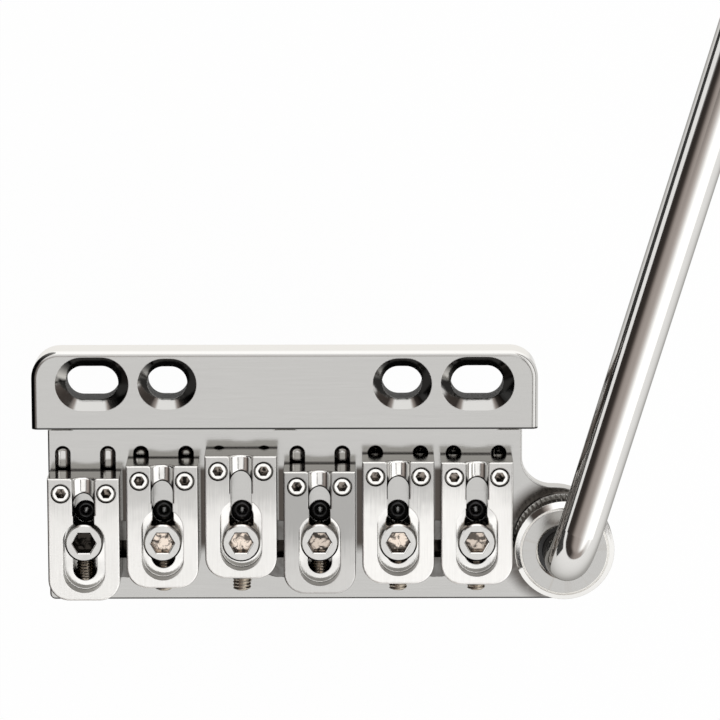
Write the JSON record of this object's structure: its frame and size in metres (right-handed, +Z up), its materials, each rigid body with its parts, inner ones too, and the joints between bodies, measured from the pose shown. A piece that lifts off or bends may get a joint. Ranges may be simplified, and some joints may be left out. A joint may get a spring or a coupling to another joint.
{
  "type": "guitar tremolo bridge",
  "caption": "Stainless guitar tremolo bridge: slotted fixed plate, hinged base with adjustable saddles, sustain block, knurled collar and swinging arm.",
  "frame": {"origin": "on the underside of the fixed plate, in the middle of the row of mounting slots", "axes": "+X across the strings towards treble, +Y towards the neck, +Z up from the guitar's top"},
  "size_m": [0.1073, 0.1313, 0.105],
  "materials": {
    "plate_steel": "satin stainless steel",
    "saddle_steel": "brushed stainless steel",
    "screw_steel": "bright stainless steel",
    "collar_steel": "turned and knurled stainless steel",
    "arm_steel": "polished stainless steel",
    "block_steel": "machined steel",
    "bush_bronze": "plain bronze",
    "bush_nylon": "black nylon"
  },
  "bodies": {
    "fixed_plate": {"fixed_plate": "plate_steel", "pivot_pin": "screw_steel"},
    "moving_base": {"base_plate": "plate_steel", "pivot_bushes": "bush_bronze", "sustain_block": "block_steel", "block_screws": "screw_steel", "arm_socket": "screw_steel", "arm_bush": "bush_nylon"},
    "height_screws_1": {"height_screws_1": "screw_steel"},
    "saddle_1": {"saddle_1": "saddle_steel"},
    "clamp_screw_1": {"clamp_screw_1": "screw_steel"},
    "intonation_screw_1": {"intonation_screw_1": "screw_steel"},
    "height_screws_2": {"height_screws_2": "screw_steel"},
    "saddle_2": {"saddle_2": "saddle_steel"},
    "clamp_screw_2": {"clamp_screw_2": "screw_steel"},
    "intonation_screw_2": {"intonation_screw_2": "screw_steel"},
    "height_screws_3": {"height_screws_3": "screw_steel"},
    "saddle_3": {"saddle_3": "saddle_steel"},
    "clamp_screw_3": {"clamp_screw_3": "screw_steel"},
    "intonation_screw_3": {"intonation_screw_3": "screw_steel"},
    "height_screws_4": {"height_screws_4": "screw_steel"},
    "saddle_4": {"saddle_4": "saddle_steel"},
    "clamp_screw_4": {"clamp_screw_4": "screw_steel"},
    "intonation_screw_4": {"intonation_screw_4": "screw_steel"},
    "height_screws_5": {"height_screws_5": "screw_steel"},
    "saddle_5": {"saddle_5": "saddle_steel"},
    "clamp_screw_5": {"clamp_screw_5": "screw_steel"},
    "intonation_screw_5": {"intonation_screw_5": "screw_steel"},
    "height_screws_6": {"height_screws_6": "screw_steel"},
    "saddle_6": {"saddle_6": "saddle_steel"},
    "clamp_screw_6": {"clamp_screw_6": "screw_steel"},
    "intonation_screw_6": {"intonation_screw_6": "screw_steel"},
    "arm_collar": {"arm_collar": "collar_steel"},
    "tremolo_arm": {"tremolo_arm": "arm_steel"}
  },
  "joints": [
    {"name": "tremolo_tilt", "type": "hinge", "parent": "fixed_plate", "child": "moving_base", "pos_m": [0, -0.005, 0.00185], "axis": [1, 0, 0], "range_deg": [-18, 3]},
    {"name": "saddle_1_intonation", "type": "slide", "parent": "moving_base", "child": "height_screws_1", "axis": [0, 1, 0], "range_m": [-0.00041, 0.00419]},
    {"name": "saddle_1_height", "type": "slide", "parent": "height_screws_1", "child": "saddle_1", "axis": [0, 0, 1], "range_m": [0, 0.001]},
    {"name": "clamp_screw_1_lift", "type": "slide", "parent": "moving_base", "child": "clamp_screw_1", "axis": [0, 0, 1], "range_m": [0, 0.001]},
    {"name": "intonation_screw_1_feed", "type": "slide", "parent": "saddle_1", "child": "intonation_screw_1", "axis": [0, -1, 0], "range_m": [-0.00041, 0.00419]},
    {"name": "saddle_2_intonation", "type": "slide", "parent": "moving_base", "child": "height_screws_2", "axis": [0, 1, 0], "range_m": [-0.00215, 0.00245]},
    {"name": "saddle_2_height", "type": "slide", "parent": "height_screws_2", "child": "saddle_2", "axis": [0, 0, 1], "range_m": [0, 0.001]},
    {"name": "clamp_screw_2_lift", "type": "slide", "parent": "moving_base", "child": "clamp_screw_2", "axis": [0, 0, 1], "range_m": [0, 0.001]},
    {"name": "intonation_screw_2_feed", "type": "slide", "parent": "saddle_2", "child": "intonation_screw_2", "axis": [0, -1, 0], "range_m": [-0.00215, 0.00245]},
    {"name": "saddle_3_intonation", "type": "slide", "parent": "moving_base", "child": "height_screws_3", "axis": [0, 1, 0], "range_m": [-0.0035, 0.0011]},
    {"name": "saddle_3_height", "type": "slide", "parent": "height_screws_3", "child": "saddle_3", "axis": [0, 0, 1], "range_m": [0, 0.001]},
    {"name": "clamp_screw_3_lift", "type": "slide", "parent": "moving_base", "child": "clamp_screw_3", "axis": [0, 0, 1], "range_m": [0, 0.001]},
    {"name": "intonation_screw_3_feed", "type": "slide", "parent": "saddle_3", "child": "intonation_screw_3", "axis": [0, -1, 0], "range_m": [-0.0035, 0.0011]},
    {"name": "saddle_4_intonation", "type": "slide", "parent": "moving_base", "child": "height_screws_4", "axis": [0, 1, 0], "range_m": [-0.00133, 0.00327]},
    {"name": "saddle_4_height", "type": "slide", "parent": "height_screws_4", "child": "saddle_4", "axis": [0, 0, 1], "range_m": [0, 0.001]},
    {"name": "clamp_screw_4_lift", "type": "slide", "parent": "moving_base", "child": "clamp_screw_4", "axis": [0, 0, 1], "range_m": [0, 0.001]},
    {"name": "intonation_screw_4_feed", "type": "slide", "parent": "saddle_4", "child": "intonation_screw_4", "axis": [0, -1, 0], "range_m": [-0.00133, 0.00327]},
    {"name": "saddle_5_intonation", "type": "slide", "parent": "moving_base", "child": "height_screws_5", "axis": [0, 1, 0], "range_m": [-0.0027, 0.0019]},
    {"name": "saddle_5_height", "type": "slide", "parent": "height_screws_5", "child": "saddle_5", "axis": [0, 0, 1], "range_m": [0, 0.001]},
    {"name": "clamp_screw_5_lift", "type": "slide", "parent": "moving_base", "child": "clamp_screw_5", "axis": [0, 0, 1], "range_m": [0, 0.001]},
    {"name": "intonation_screw_5_feed", "type": "slide", "parent": "saddle_5", "child": "intonation_screw_5", "axis": [0, -1, 0], "range_m": [-0.0027, 0.0019]},
    {"name": "saddle_6_intonation", "type": "slide", "parent": "moving_base", "child": "height_screws_6", "axis": [0, 1, 0], "range_m": [-0.00259, 0.00201]},
    {"name": "saddle_6_height", "type": "slide", "parent": "height_screws_6", "child": "saddle_6", "axis": [0, 0, 1], "range_m": [0, 0.001]},
    {"name": "clamp_screw_6_lift", "type": "slide", "parent": "moving_base", "child": "clamp_screw_6", "axis": [0, 0, 1], "range_m": [0, 0.001]},
    {"name": "intonation_screw_6_feed", "type": "slide", "parent": "saddle_6", "child": "intonation_screw_6", "axis": [0, -1, 0], "range_m": [-0.00259, 0.00201]},
    {"name": "arm_collar_turn", "type": "hinge", "parent": "moving_base", "child": "arm_collar", "pos_m": [0.03825, -0.0225, 0.0036], "axis": [0, 0, 1], "range_deg": [-180, 180]},
    {"name": "arm_swing", "type": "hinge", "parent": "moving_base", "child": "tremolo_arm", "pos_m": [0.03825, -0.0225, 0.0036], "axis": [0, 0, 1], "continuous": true}
  ],
  "couplings": [
    {"joint": "clamp_screw_1_lift", "follows": "saddle_1_height", "ratio": 1},
    {"joint": "intonation_screw_1_feed", "follows": "saddle_1_intonation", "ratio": 1},
    {"joint": "clamp_screw_2_lift", "follows": "saddle_2_height", "ratio": 1},
    {"joint": "intonation_screw_2_feed", "follows": "saddle_2_intonation", "ratio": 1},
    {"joint": "clamp_screw_3_lift", "follows": "saddle_3_height", "ratio": 1},
    {"joint": "intonation_screw_3_feed", "follows": "saddle_3_intonation", "ratio": 1},
    {"joint": "clamp_screw_4_lift", "follows": "saddle_4_height", "ratio": 1},
    {"joint": "intonation_screw_4_feed", "follows": "saddle_4_intonation", "ratio": 1},
    {"joint": "clamp_screw_5_lift", "follows": "saddle_5_height", "ratio": 1},
    {"joint": "intonation_screw_5_feed", "follows": "saddle_5_intonation", "ratio": 1},
    {"joint": "clamp_screw_6_lift", "follows": "saddle_6_height", "ratio": 1},
    {"joint": "intonation_screw_6_feed", "follows": "saddle_6_intonation", "ratio": 1}
  ]
}
